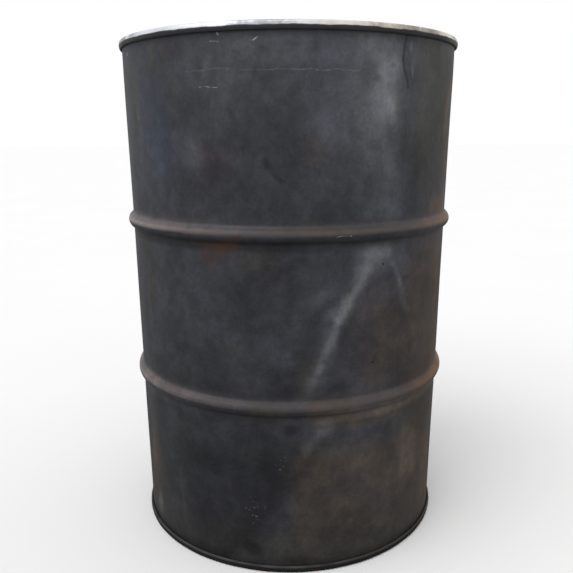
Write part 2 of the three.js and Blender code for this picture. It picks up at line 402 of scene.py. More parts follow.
def panel_points():
    """Points over the panel, ring by ring, and the pairs that join its edges' rings."""
    points, pairs = [], []

    def add_ring(radius, count, x=0.0, join=False, keep=lambda px, py: True):
        first = len(points)
        for k in range(count):
            a = TURN * k / count
            px, py = x + radius * math.sin(a), -radius * math.cos(a)
            if keep(px, py):
                points.append((px, py))
        if join:
            pairs.extend((first + k, first + (k + 1) % count) for k in range(count))

    def clear(px, py):
        return all(math.hypot(px - c.x, py) > c.boss + 9 * MM for c in CLOSURES)

    def within(px, py):
        return math.hypot(px, py) < PANEL_EDGE - 2 * MM

    add_ring(PANEL_EDGE, len(ROUND), join=True)
    slope = list(np.linspace(CENTRE_RADIUS - CENTRE_SLOPE - 1 * MM, CENTRE_RADIUS + 1 * MM, 7))
    radii = list(np.arange(10 * MM, slope[0] - 4 * MM, 9 * MM)) + slope
    radii += list(np.arange(slope[-1] + 6 * MM, PANEL_EDGE - 4 * MM, 7 * MM))
    for radius in radii:
        add_ring(radius, max(12, round(TURN * radius / (7 * MM))), keep=clear)
    for c in CLOSURES:
        inner, outer = hole_radius(c), c.boss + 8 * MM
        add_ring(inner, len(SMALL_ROUND), c.x, join=True)
        for radius in np.linspace(inner + 1.5 * MM, outer, round((outer - inner) / (1.5 * MM))):
            add_ring(radius, len(SMALL_ROUND), c.x, keep=within)
    return points, pairs


def panel():
    """(vertices, faces) of the top head's panel: both of its faces and its holes' edges."""
    points, pairs = panel_points()
    points, _, triangles, *_ = delaunay_2d_cdt([Vector(p) for p in points], pairs, [], 0, 1e-9)
    flat = np.array([tuple(p) for p in points])
    middles = np.array([flat[list(t)].mean(axis=0) for t in triangles])
    inside = np.hypot(middles[:, 0], middles[:, 1]) < PANEL_EDGE
    for c in CLOSURES:
        inside &= np.hypot(middles[:, 0] - c.x, middles[:, 1]) > hole_radius(c)
    kept = [list(t) for t, keep in zip(triangles, inside) if keep]
    top = panel_height(flat[:, 0], flat[:, 1])
    count = len(flat)
    vertices = [(x, y, z) for (x, y), z in zip(flat, top)]
    vertices += [(x, y, z - SHEET) for (x, y), z in zip(flat, top)]
    faces = kept + [[i + count for i in reversed(t)] for t in kept]
    for c in CLOSURES:
        ring = np.where(np.abs(np.hypot(flat[:, 0] - c.x, flat[:, 1]) - hole_radius(c)) < 1e-6)[0]
        ring = sorted(ring, key=lambda i: math.atan2(flat[i, 1], flat[i, 0] - c.x))
        for a, b in zip(ring, ring[1:] + ring[:1]):
            faces.append([int(a), int(b), int(b) + count, int(a) + count])
    used = sorted({i for face in faces for i in face})
    place = {i: k for k, i in enumerate(used)}
    return [vertices[i] for i in used], [[place[i] for i in face] for face in faces]


# ---- Closures ----


def rounded(corners, bends, steps=4):
    """An outline through corners, each rounded by its own bend radius where that is given."""
    line = []
    count = len(corners)
    for i, (corner, bend) in enumerate(zip(corners, bends)):
        corner = np.array(corner, float)
        if not bend:
            line.append(corner)
            continue
        before = np.array(corners[i - 1], float) - corner
        after = np.array(corners[(i + 1) % count], float) - corner
        before /= np.linalg.norm(before)
        after /= np.linalg.norm(after)
        half = math.acos(np.clip(before @ after, -1, 1)) / 2
        start, end = (corner + way * bend / math.tan(half) for way in (before, after))
        for t in np.linspace(0, 1, steps + 1):
            line.append((1 - t) ** 2 * start + 2 * t * (1 - t) * corner + t**2 * end)
    return np.array(line)


def thread_nudge(c, mean_radius, bottom, top):
    """A right-hand thread of the closure's pitch on the surface at a radius."""

    def nudge(radius, angle, height):
        counter = TURN - angle  # angles from the front run clockwise seen from above
        phase = (height / c.pitch + counter / TURN) % 1
        wave = 1 - 4 * np.abs(phase - 0.5)
        near = np.abs(radius - mean_radius) < 0.01 * MM
        run = smoothstep(height, bottom, bottom + c.pitch) * smoothstep(-height, -top, c.pitch - top)
        return radius + np.where(near, THREAD_DEPTH * wave * run, 0)

    return nudge


def flange_mesh(c):
    """A threaded neck through the head, crimped over at its top, on an eight-sided plate."""
    plate_top = BOSS_TOP - SHEET - 2 * RUBBER_GAP - FLANGE_GASKET_THICKNESS
    plate_bottom = plate_top - PLATE_THICKNESS
    lip = c.neck + c.lip
    plate = c.plate
    thread = straight((c.bore, NECK_TOP - 1 * MM), (c.bore, c.flange_bottom + 0.6 * MM), c.pitch / 10)
    body = rounded(
        [
            (c.bore + 0.5 * MM, c.flange_bottom),
            (c.neck, c.flange_bottom),
            (c.neck, plate_bottom),
            (plate, plate_bottom),
            (plate, plate_top),
            (c.neck, plate_top),
            (c.neck, BOSS_TOP + RUBBER_GAP),
            (lip, BOSS_TOP + RUBBER_GAP),
            (lip, NECK_TOP),
            (c.bore + 0.6 * MM, NECK_TOP),
        ],
        [0, 0.5 * MM, 0.4 * MM, 0.4 * MM, 0.4 * MM, 0, 0, 0.4 * MM, 1.1 * MM, 0.4 * MM],
    )
    outline = np.vstack([body, thread])
    turn = thread_nudge(c, c.bore, c.flange_bottom, NECK_TOP)

    def nudge(radius, angle, height):
        wide = radius > c.neck + 3.5 * MM
        in_plate = wide & (height < plate_top + 0.1 * MM)
        sector = (np.degrees(angle) + 22.5) % 45 - 22.5
        flat = radius / np.cos(np.radians(sector))
        return np.where(in_plate, flat, turn(radius, angle, height))

    return turned(outline, SMALL_ROUND, nudge, axis_x=c.x)


def ring_mesh(inner, outer, bottom, top, bend, x=0.0, angles=SMALL_ROUND):
    corners = [(inner, bottom), (outer, bottom), (outer, top), (inner, top)]
    return turned(rounded(corners, [bend] * 4), angles, axis_x=x)


def plug_outline(c):
    """(the cup's outline, its shank's radius, its inside radius, its floor's height)"""
    shank = c.bore - PLUG_PLAY
    inside = shank - CUP_WALL
    rim_bottom = c.plug_top - RIM_THICKNESS
    floor = c.plug_bottom + CUP_FLOOR
    cup = rounded(
        [
            (0, c.plug_bottom),
            (shank - 1.5 * MM, c.plug_bottom),
            (shank, c.plug_bottom + 1.5 * MM),
            (shank, rim_bottom),
            (c.rim, rim_bottom),
            (c.rim, c.plug_top),
            (inside, c.plug_top),
            (inside, floor),
            (0, floor),
        ],
        [0, 0.3 * MM, 0.3 * MM, 0, 0.5 * MM, 1.0 * MM, 1.3 * MM, 1.6 * MM, 0],
    )
    start = next(i for i, p in enumerate(cup) if abs(p[0] - shank) < 1e-9 and p[1] > rim_bottom - 1e-9)
    thread = straight((shank, cup[start - 1][1]), (shank, rim_bottom), c.pitch / 10)
    return joined(cup[:start], thread, cup[start + 1:]), shank, inside, floor


def plug_meshes(c):
    """(the plug's cup as vertices and faces, its inside radius, its floor's height)"""
    cup, shank, inside, floor = plug_outline(c)
    nudge = thread_nudge(c, shank, c.plug_bottom + 1 * MM, NECK_TOP)
    return turned(cup, SMALL_ROUND, nudge, axis_x=c.x), inside, floor


def lug_mesh(c, inside, floor, side):
    """A wrench lug on a plug's floor, with sloping flanks and rounded edges."""
    start, end = inside - c.lug_length, inside + 1.2 * MM
    top, bottom = floor + LUG_HEIGHT, floor - CUP_FLOOR / 2
    half = c.lug_width / 2
    bm = bmesh.new()
    corners = []
    for z, spread in ((bottom, 1.15), (top, 0.85)):
        for r, y in ((start, -half), (end, -half), (end, half), (start, half)):
            inward = (1 - spread) * 2 * MM if r == start else 0
            corners.append(bm.verts.new((c.x + side * (r + inward), y * spread, z)))
    for face in ((0, 1, 2, 3), (4, 5, 6, 7), (0, 1, 5, 4), (1, 2, 6, 5), (2, 3, 7, 6), (3, 0, 4, 7)):
        bm.faces.new([corners[i] for i in face])
    bmesh.ops.bevel(
        bm, geom=list(bm.edges), offset=0.7 * MM, segments=3, profile=0.5, affect="EDGES")
    bmesh.ops.recalc_face_normals(bm, faces=bm.faces)
    mesh = bpy.data.meshes.new("lug")
    bm.to_mesh(mesh)
    bm.free()
    return bpy.data.objects.new("lug", mesh)


def fused(obj, others):
    """Joins other solids to an object, so that it stays one closed surface."""
    for other in others:
        bpy.context.collection.objects.link(other)
        union = obj.modifiers.new("union", "BOOLEAN")
        union.operation, union.solver, union.object = "UNION", "EXACT", other
        graph = bpy.context.evaluated_depsgraph_get()
        mesh = bpy.data.meshes.new_from_object(obj.evaluated_get(graph), depsgraph=graph)
        obj.modifiers.clear()
        obj.data = mesh
        bpy.data.objects.remove(other)
    obj.data.shade_smooth()
    obj.data.set_sharp_from_angle(angle=SHARP)


# ---- Materials ----


class Material:
    """A node material, with short calls that each add one node and give back its output."""

    def __init__(self, name):
        self.material = bpy.data.materials.new(name)
        self.material.use_nodes = True
        self.tree = self.material.node_tree
        self.tree.nodes.clear()
        self.shader = self.node("ShaderNodeBsdfPrincipled")
        out = self.node("ShaderNodeOutputMaterial")
        self.tree.links.new(self.shader.outputs[0], out.inputs[0])

    def node(self, kind, inputs=None, **settings):
        made = self.tree.nodes.new(kind)
        for key, value in settings.items():
            setattr(made, key, value)
        for key, value in (inputs or {}).items():
            self.set(made.inputs[key], value)
        return made

    def set(self, socket, value):
        if isinstance(value, bpy.types.NodeSocket):
            self.tree.links.new(value, socket)
        else:
            socket.default_value = value

    def place(self):
        return self.node("ShaderNodeTexCoord").outputs["Object"]

    def math(self, operation, a, b=0.0, c=0.0):
        return self.node("ShaderNodeMath", {0: a, 1: b, 2: c}, operation=operation).outputs[0]

    def vector(self, operation, a, b=(0, 0, 0)):
        made = self.node("ShaderNodeVectorMath", {0: a, 1: b}, operation=operation)
        return made.outputs["Value" if operation in ("LENGTH", "DOT_PRODUCT") else "Vector"]

    def stretched(self, place, scale):
        return self.node("ShaderNodeMapping", {"Vector": place, "Scale": scale}).outputs[0]

    def scaled(self, vector, scale):
        return self.node("ShaderNodeVectorMath", {0: vector, 3: scale}, operation="SCALE").outputs[0]

    def apart(self, vector):
        return self.node("ShaderNodeSeparateXYZ", {0: vector}).outputs

    def together(self, x, y, z=0.0):
        return self.node("ShaderNodeCombineXYZ", {0: x, 1: y, 2: z}).outputs[0]

    def noise(self, vector, scale, detail=4.0, roughness=0.55, distortion=0.0):
        made = self.node(
            "ShaderNodeTexNoise",
            {"Vector": vector, "Scale": scale, "Detail": detail, "Roughness": roughness,
             "Distortion": distortion},
        )
        return made.outputs["Fac"]

    def colours(self, vector, scale, detail=2.0):
        made = self.node("ShaderNodeTexNoise", {"Vector": vector, "Scale": scale, "Detail": detail})
        return made.outputs["Color"]

    def ramp(self, value, low, high, bottom=0.0, top=1.0):
        """value, eased from low..high to bottom..top."""
        made = self.node(
            "ShaderNodeMapRange",
            {"Value": value, "From Min": low, "From Max": high, "To Min": bottom, "To Max": top},
            interpolation_type="SMOOTHSTEP",
            clamp=False,
        )
        return made.outputs[0]

    def mix(self, amount, a, b, blend="MIX"):
        made = self.node("ShaderNodeMix", data_type="RGBA", blend_type=blend)
        for socket, value in zip((made.inputs[0], made.inputs[6], made.inputs[7]), (amount, a, b)):
            self.set(socket, value)
        return made.outputs[2]

    def times(self, *values):
        result = values[0]
        for value in values[1:]:
            result = self.math("MULTIPLY", result, value)
        return result

    def plus(self, *values):
        result = values[0]
        for value in values[1:]:
            result = self.math("ADD", result, value)
        return result

    def bump(self, height, distance, strength=1.0):
        made = self.node(
            "ShaderNodeBump", {"Height": height, "Distance": distance, "Strength": strength})
        self.set(self.shader.inputs["Normal"], made.outputs[0])

    def finish(self, **values):
        for key, value in values.items():
            self.set(self.shader.inputs[key.replace("_", " ")], value)
        return self.material


def grey(value, warm=0.0):
    """A linear colour of a brightness, warmer or (below 0) cooler."""
    return (value * (1 + warm), value, value * (1 - warm), 1)


class Wall:
    """Masks for marks on the drum's wall, placed by (degrees, millimetres).

    The front's marks follow the photograph. Some places were read there and turned
    into degrees and millimetres by another program. Others were added or moved to match it.
    """

    def __init__(self, m):
        self.m = m
        self.place = m.place()
        x, y, z = m.apart(self.place)
        self.height = z
        self.angle = m.math("ARCTAN2", x, m.math("MULTIPLY", y, -1.0))
        # 1 round the front and sides, 0 at the back, where the angle jumps from 180 to -180 degrees.
        self.front = m.ramp(y, 0.85 * WALL, 0.1 * WALL)
        self.flat = m.together(m.math("MULTIPLY", self.angle, WALL), z)
        wander = m.vector("SUBTRACT", m.colours(self.place, 9.0, 3.0), (0.5, 0.5, 0.5))
        self.loose = m.vector("ADD", self.flat, m.scaled(wander, 0.05))
        ripple = m.vector("SUBTRACT", m.colours(self.place, 60.0, 2.0), (0.5, 0.5, 0.5))
        self.crisp = m.vector("ADD", self.flat, m.scaled(ripple, 0.006))

    @staticmethod
    def at(place):
        degrees, millimetres = place
        return (math.radians(degrees) * WALL, millimetres * MM, 0)

    def around(self, start, end, bottom=0.0, top=1.0):
        """bottom to top from one angle to another, in degrees."""
        return self.m.ramp(self.angle, math.radians(start), math.radians(end), bottom, top)

    def turning(self, start, end):
        """0 to 1 from one angle to another, fading out again at the back."""
        return self.m.times(self.around(start, end), self.front)

    def patch(self, place, wide, tall, soft=0.8, crisp=False):
        """1 in the middle of a soft-edged oval and 0 outside it; sizes in millimetres."""
        m = self.m
        off = m.vector("SUBTRACT", self.crisp if crisp else self.loose, self.at(place))
        off = m.vector("MULTIPLY", off, (2 / (wide * MM), 2 / (tall * MM), 0))
        return m.ramp(m.vector("LENGTH", off), 1.0, 1.0 - soft)

    def streak(self, start, end, wide, soft=0.9, crisp=False):
        """1 along the line from one place to another and 0 away from it."""
        m = self.m
        a, b = Vector(self.at(start)), Vector(self.at(end))
        along = b - a
        off = m.vector("SUBTRACT", self.crisp if crisp else self.loose, tuple(a))
        share = m.math("DIVIDE", m.vector("DOT_PRODUCT", off, tuple(along)), along.length_squared)
        share = m.math("MINIMUM", m.math("MAXIMUM", share, 0.0), 1.0)
        nearest = m.scaled(tuple(along), share)
        gap = m.vector("LENGTH", m.vector("SUBTRACT", off, nearest))
        return m.ramp(gap, wide / 2 * MM, wide / 2 * MM * (1 - soft))

    def band(self, low, high, soft):
        """1 between two heights, all in millimetres."""
        up = self.m.ramp(self.height, (low - soft) * MM, (low + soft) * MM)
        down = self.m.ramp(self.height, (high + soft) * MM, (high - soft) * MM)
        return self.m.times(up, down)

    def above(self, height):
        """1 just above a hoop's crest, fading out over 24 mm."""
        start = self.m.ramp(self.height, (height - 1.5) * MM, (height + 2) * MM)
        return self.m.times(start, self.m.ramp(self.height, (height + 26) * MM, (height + 2) * MM))


def shell_material():
    """Bare steel darkened by heat, with rust on its hoops, smears and scratches, and painted light and
    shade.
    """
    m = Material("shell_steel")
    wall = Wall(m)
    cloud = m.noise(wall.place, 4.0, 5.0, 0.6, 0.8)
    mottle = m.noise(wall.place, 17.0, 6.0, 0.62, 0.4)
    blots = m.noise(wall.place, 52.0, 5.0, 0.6, 0.2)
    grain = m.noise(wall.place, 190.0, 4.0, 0.65)
    runs = m.noise(m.stretched(wall.place, (1, 1, 0.2)), 24.0, 5.0, 0.6)

    # Brightness of the steel: clouds, blots and runs, with painted shade that darkens it towards the
    # floor.
    light = m.ramp(wall.height, 0.0, HEIGHT, 0.88, 1.2)
    light = m.times(light, m.ramp(cloud, 0.38, 0.62, 0.86, 1.14))
    light = m.times(light, m.ramp(mottle, 0.38, 0.64, 0.84, 1.16))
    light = m.times(light, m.ramp(blots, 0.36, 0.66, 0.89, 1.1))
    light = m.times(light, m.ramp(runs, 0.38, 0.64, 0.94, 1.07))
    light = m.times(light, m.ramp(grain, 0.3, 0.7, 0.9, 1.1))
    # Smears and smudges, with painted light and shade among them.
    for mark, amount in pale_marks_and_light(wall):
        light = m.math("MULTIPLY_ADD", mark, m.times(light, amount), light)
    for mark, amount in dark_marks_and_shade(wall):
        light = m.math("MULTIPLY_ADD", mark, m.times(light, -amount), light)

    # Its tint: violet grey, with places that are bluer, greener or browner.
    tint = m.noise(wall.place, 7.0, 4.0, 0.6, 0.5)
    colour = m.mix(m.ramp(tint, 0.42, 0.6), (0.0490, 0.0500, 0.0612, 1), (0.0490, 0.0510, 0.0570, 1))
    for mark, amount, shade in tints(wall):
        mark = m.times(mark, m.ramp(mottle, 0.3, 0.6, 0.6 * amount, amount))
        colour = m.mix(mark, colour, shade)
    colour = m.mix(1.0, colour, m.together(light, light, light), "MULTIPLY")

    # Rust: rubbed along the hoops' crests, and in a few patches. The crests' colour also holds a painted
    # highlight, paler towards the left where the key light falls.
    bloom = m.ramp(m.noise(wall.place, 30.0, 6.0, 0.65), 0.36, 0.64)
    colour = m.mix(*hoop_rust_and_highlight(wall, bloom, colour))
    rust = m.times(bloom, 0.0)
    for mark, amount in rust_marks(wall):
        rust = m.math("MAXIMUM", rust, m.times(mark, amount))
    rust = m.times(rust, m.ramp(bloom, 0.0, 0.7, 0.6, 1.0))
    colour = m.mix(rust, colour, (0.060, 0.028, 0.018, 1))
    # Scratches, and one painted glint on the upper hoop's crest.
    scraped_and_glint = scratches(wall)
    colour = m.mix(scraped_and_glint, colour, (0.42, 0.43, 0.45, 1))

    rough = m.ramp(mottle, 0.36, 0.64, 0.5, 0.64)
    rough = m.math("MULTIPLY_ADD", rust, 0.15, rough)
    rough = m.math("MULTIPLY_ADD", scraped_and_glint, -0.2, rough)
    pits = m.noise(wall.place, 460.0, 3.0, 0.6)
    relief = m.plus(m.times(mottle, 0.5), m.times(blots, 0.3), m.times(grain, 0.2), m.times(pits, 0.1))
    m.bump(relief, 0.0006, 0.5)
    return m.finish(
        Base_Color=colour, Roughness=rough, Metallic=m.math("MULTIPLY_ADD", rust, -0.35, 0.4),
        Specular_IOR_Level=0.35)


def hoop_rust_and_highlight(wall, bloom, colour):
    """(amount, steel, rust) of the rubbed rust on both hoops, for one colour mix; the rust colour holds
    a painted highlight that grows paler towards the left.
    """
    m = wall.m
    ends = m.math("MAXIMUM", wall.around(-25, -70, 0.25, 0.8), wall.around(5, 30, 0.25, 0.8))
    high_crest = wall.band(HIGH_HOOP + 0.5, HIGH_HOOP + 8, 2.5)
    low_crest = m.times(wall.band(LOW_HOOP, LOW_HOOP + 9, 3), ends)
    crests = m.math("MAXIMUM", high_crest, low_crest)
    flanks = m.math("MAXIMUM", wall.above(HIGH_HOOP), wall.above(LOW_HOOP))
    # Painted highlight: the crests' colour turns pale pink towards the left, where the key light falls.
    pale = m.mix(wall.turning(-5, -75), (0.075, 0.064, 0.062, 1), (0.32, 0.255, 0.252, 1))
    side = m.times(wall.turning(35, 72), wall.turning(140, 90))
    rusty = m.mix(side, (0.095, 0.078, 0.071, 1), (0.26, 0.140, 0.070, 1))
    edge = m.times(wall.turning(66, 82), wall.turning(140, 100))
    rusty = m.mix(edge, rusty, (0.40, 0.22, 0.11, 1))
    crest = m.mix(wall.around(-10, 15), pale, rusty)
    crests = m.times(crests, m.ramp(bloom, 0.0, 1.0, 0.78, 1.0))
    flanks = m.times(flanks, m.ramp(bloom, 0.0, 1.0, 0.4, 0.75))
    return m.math("MAXIMUM", crests, flanks), colour, crest


def pale_marks_and_light(wall):
    """Lighter smears on the wall, with painted light under the lower hoop and a painted highlight on the
    ridge beside the crease, as (mask, how much lighter).
    """
    m = wall.m
    under_low_hoop = wall.band(LOW_HOOP - 26, LOW_HOOP - 2, 6)
    yield wall.patch((20, 785), 340, 280), 0.4
    yield wall.patch((26, 800), 170, 190), 0.36
    yield wall.patch((30, 790), 80, 110, 0.9), 0.9
    yield wall.patch((-4, 840), 260, 70), 0.4
    yield wall.patch((46, 780), 80, 220), 0.36
    yield wall.streak((24, 850), (30, 820), 60), 0.3
    yield wall.streak((27, 750), (28, 640), 100), 0.4
    yield wall.patch((14, 700), 90, 150), 0.2
    yield wall.patch((30, 612), 110, 60), 0.3
    yield wall.streak((33, 700), (34, 610), 50), 0.2
    # Painted highlight on the ridge to the right of the crease.
    yield wall.patch((38.7, 848), 9, 26, 0.7, True), 0.5
    yield wall.patch((39.5, 815), 9, 28, 0.7, True), 0.6
    yield wall.patch((28.5, 553), 140, 32, 0.9, True), 0.4
    yield wall.patch((27, 545), 170, 60), 0.55
    yield wall.streak((26, 538), (21, 505), 80), 0.3
    yield wall.streak((22, 512), (17, 462), 54), 0.55
    yield wall.streak((18, 474), (13, 415), 48), 0.62
    yield wall.streak((14, 425), (9, 355), 44), 0.42
    yield wall.streak((10, 372), (5, 322), 40), 0.3
    yield wall.streak((24, 528), (16, 445), 24), 0.25
    yield wall.streak((16, 450), (7.5, 345), 22), 0.4
    yield wall.streak((34, 528), (38.5, 490), 20), 0.4
    yield wall.streak((38, 497), (46, 405), 20), 0.36
    yield wall.streak((24, 530), (38, 520), 70), 0.3
    yield wall.streak((22, 470), (30, 330), 150), 0.32
    yield wall.patch((50, 400), 150, 180), 0.3
    yield wall.patch((45, 470), 80, 90), 0.35
    # Painted light lifting the wall just under the lower hoop.
    yield m.times(under_low_hoop, wall.turning(-20, -50)), 0.45
    yield wall.patch((30, 270), 210, 56), 0.3
    yield wall.patch((62, 130), 70, 260), 0.3
    yield wall.patch((-62, 140), 70, 200), 0.25
    yield wall.streak((17, 524), (8, 480), 46), 0.34
    yield wall.streak((9, 488), (0, 415), 50), 0.16
    yield wall.patch((11.5, 264), 54, 52), 1.0
    yield wall.streak((9.5, 252), (3, 200), 34), 0.5
    yield wall.patch((33, 170), 270, 260, 0.7), 0.3
    yield wall.patch((48, 180), 90, 150), 0.45
    yield wall.patch((-32, 706), 80, 90), 0.75
    yield wall.streak((-23.4, 855), (-23.4, 818), 24), 0.35
    yield wall.streak((-56, 800), (-58, 640), 60), 0.15
    yield wall.patch((-57, 420), 30, 90), 0.3
    yield wall.streak((-40, 165), (-42, 60), 26), 0.25
    yield wall.patch((-60, 42), 44, 80), 1.3
    yield wall.patch((-62, 230), 80, 320), 0.32
    yield wall.patch((-45, 250), 60, 90), 0.2
    yield wall.patch((-21, 800), 120, 90), 0.16
    # Painted light lifting the wall just under the lower hoop.
    yield m.times(under_low_hoop, wall.turning(0, 25)), 0.8
    yield wall.streak((100, 820), (112, 560), 70), 0.5
    yield wall.streak((-110, 560), (-102, 350), 46), 0.5
    yield wall.streak((150, 540), (165, 330), 34), 0.6
    yield wall.patch((-150, 180), 150, 120), 0.4
    yield wall.patch((160, 770), 130, 110), 0.45


def dark_marks_and_shade(wall):
    """Darker smudges on the wall, and painted shade under the top chime, under the upper hoop, in the
    crease and along the foot, as (mask, how much darker).
    """
    m = wall.m
    # Below the lower hoop the steel is darker on the left of a slanting border.
    beyond = m.math("MULTIPLY_ADD", wall.height, -0.75, m.math("MULTIPLY", wall.angle, WALL))
    left_of_border = m.times(
        m.ramp(beyond, -0.1, -0.13), m.ramp(wall.height, 0.25, 0.2), wall.around(-50, -30))
    yield wall.streak((-7.6, 708), (-6.4, 690), 22), 0.26
    yield wall.streak((-6.6, 694), (-1.9, 667), 15), 0.36
    yield wall.streak((-13, 713), (-7, 694), 16), 0.14
    yield wall.patch((-24.4, 690), 60, 84), 0.24
    yield wall.streak((-7.4, 836), (-10.4, 816), 14), 0.3
    yield wall.patch((-15.4, 834), 26, 10), 0.18
    yield wall.patch((-33, 842), 60, 34), 0.24
    yield wall.patch((-62, 730), 70, 200), 0.16
    yield wall.patch((62, 780), 70, 260), 0.12
    yield wall.patch((8.5, 850), 16, 26), 0.22
    yield wall.patch((25.6, 837), 11, 10), 0.2
    yield wall.patch((30.2, 817), 20, 13), 0.25
    yield wall.patch((25.8, 803), 24, 12), 0.25
    yield wall.patch((10.6, 793), 20, 20), 0.14
    yield wall.patch((24.4, 686), 12, 8), 0.26
    yield wall.streak((0.5, 780), (-2, 610), 110), 0.1
    yield wall.patch((-12, 640), 140, 120), 0.1
    yield wall.patch((8, 700), 60, 90), 0.1
    yield wall.patch((-10, 490), 160, 210), 0.34
    yield wall.patch((2, 510), 50, 120), 0.16
    yield wall.patch((-2, 350), 110, 90), 0.2
    yield wall.patch((8, 372), 30, 80), 0.14
    yield wall.patch((14.7, 341), 34, 22), 0.24
    yield wall.patch((40.8, 504), 18, 16), 0.2
    yield wall.patch((50, 540), 70, 40), 0.15
    yield left_of_border, 0.42
    yield wall.patch((-8, 245), 150, 90), 0.2
    yield wall.patch((-12, 60), 150, 80), 0.2
    yield wall.patch((25, 90), 90, 90), 0.14
    # Painted shade in the crease beside the weld.
    yield wall.streak((36.4, 862), (35.5, 830), 8, crisp=True), 0.5
    yield wall.streak((35.6, 832), (36.6, 812), 8, crisp=True), 0.42
    yield wall.streak((36.8, 815), (38.3, 792), 6, crisp=True), 0.42
    yield wall.streak((37.6, 800), (37.4, 640), 5, crisp=True), 0.2
    yield wall.streak((43, 800), (42, 620), 60), 0.16
    yield wall.patch((140, 700), 120, 130), 0.3
    yield wall.patch((-120, 300), 140, 150), 0.3
    yield wall.streak((70, 560), (66, 420), 40), 0.2
    yield wall.patch((30.8, 532), 4, 4, 0.5, True), 0.85
    yield wall.patch((28, 373), 5, 5, 0.5, True), 0.85
    yield wall.patch((-141, 455), 5, 5, 0.5, True), 0.85
    # Painted shade under the upper hoop's crest, at the front.
    yield m.times(wall.band(HIGH_HOOP - 24, HIGH_HOOP - 3, 5), wall.turning(20, -5)), 0.4
    yield wall.patch((-1, 272), 40, 34), 0.4
    yield wall.patch((0, 338), 60, 40), 0.25
    yield wall.patch((-30, 485), 60, 130), 0.16
    yield wall.patch((-14, 40), 60, 44), 0.5
    # Painted shadow under the top chime.
    yield wall.band(855, 868, 4), 0.2
    # Painted shade along the foot of the wall, next to the floor.
    yield wall.band(0, 26, 10), 0.35


def tints(wall):
    """Places where the steel's tint changes, as (mask, amount, linear colour)."""
    m = wall.m
    brown, olive = (0.068, 0.053, 0.043, 1), (0.055, 0.053, 0.046, 1)
    blue, mauve = (0.041, 0.050, 0.068, 1), (0.062, 0.049, 0.056, 1)
    ashen = (0.0505, 0.0515, 0.0555, 1)
    orange, umber = (0.13, 0.075, 0.045, 1), (0.080, 0.053, 0.037, 1)
    right = wall.turning(38, 48)
    yield m.times(right, m.ramp(wall.height, 0.58, 0.7)), 0.75, olive
    yield m.times(right, m.ramp(wall.height, 0.6, 0.5)), 0.85, brown
    yield m.times(wall.turning(-6, 8), m.ramp(wall.height, 0.26, 0.2)), 0.9, brown
    yield m.ramp(wall.height, 0.13, 0.03), 0.7, olive
    edge = m.times(wall.turning(46, 64), wall.turning(105, 75))
    yield m.times(edge, m.ramp(wall.height, 0.6, 0.5)), 0.85, umber
    yield wall.patch((-45, 735), 170, 260), 0.95, blue
    yield wall.patch((26, 560), 130, 60), 0.7, ashen
    yield wall.patch((28, 780), 180, 240), 0.8, ashen
    yield wall.patch((15, 300), 150, 80), 0.8, brown
    yield wall.patch((-8, 300), 130, 70), 0.8, olive
    yield wall.patch((-38, 848), 60, 30), 0.7, mauve
    yield wall.patch((-24, 690), 80, 90), 0.8, mauve
    yield wall.patch((-10, 540), 110, 60), 0.6, olive
    yield wall.patch((7.6, 703), 50, 60), 0.4, brown
    yield wall.patch((7, 360), 60, 110), 0.8, olive
    yield m.times(wall.turning(14, 32), wall.band(320, 480, 60)), 0.75, brown
    yield m.times(wall.turning(0, 20), wall.band(LOW_HOOP - 40, LOW_HOOP, 10)), 0.9, brown
    yield wall.patch((-56, 500), 60, 170), 0.7, olive
    yield wall.streak((-57, 810), (-58, 760), 30), 0.8, olive
    yield wall.streak((-45.6, 856), (-46.3, 815), 14), 0.9, olive
    yield wall.patch((-62, 130), 110, 260), 0.95, brown
    yield wall.streak((65, 800), (66, 610), 40), 0.5, orange
    yield wall.streak((56, 610), (70, 606), 50), 0.8, orange
    yield wall.streak((63, 540), (66, 300), 50), 0.4, orange
    yield wall.patch((22.3, 88), 12, 14), 0.7, orange
    yield wall.streak((27, 550), (7, 335), 60), 0.95, ashen
    yield wall.patch((130, 500), 200, 260), 0.6, brown
    yield wall.patch((-140, 500), 200, 260), 0.6, olive


def rust_marks(wall):
    """Patches of rust on the wall, as (mask, how strong)."""
    yield wall.streak((-29, 574), (-15, 573), 22), 1.0
    yield wall.patch((-21, 565), 76, 34, 0.6), 0.9
    yield wall.patch((-23, 548), 64, 46), 0.65
    yield wall.patch((-6, 664), 8, 8), 0.4
    yield wall.patch((-6.9, 52), 20, 14), 0.4
    yield wall.patch((62, 470), 40, 120), 0.2
    yield wall.patch((110, 562), 60, 40), 0.7
    yield wall.patch((-140, 280), 80, 40), 0.7
    yield wall.patch((168, 860), 90, 30), 0.5
    yield wall.streak((130, 288), (131, 200), 20), 0.55


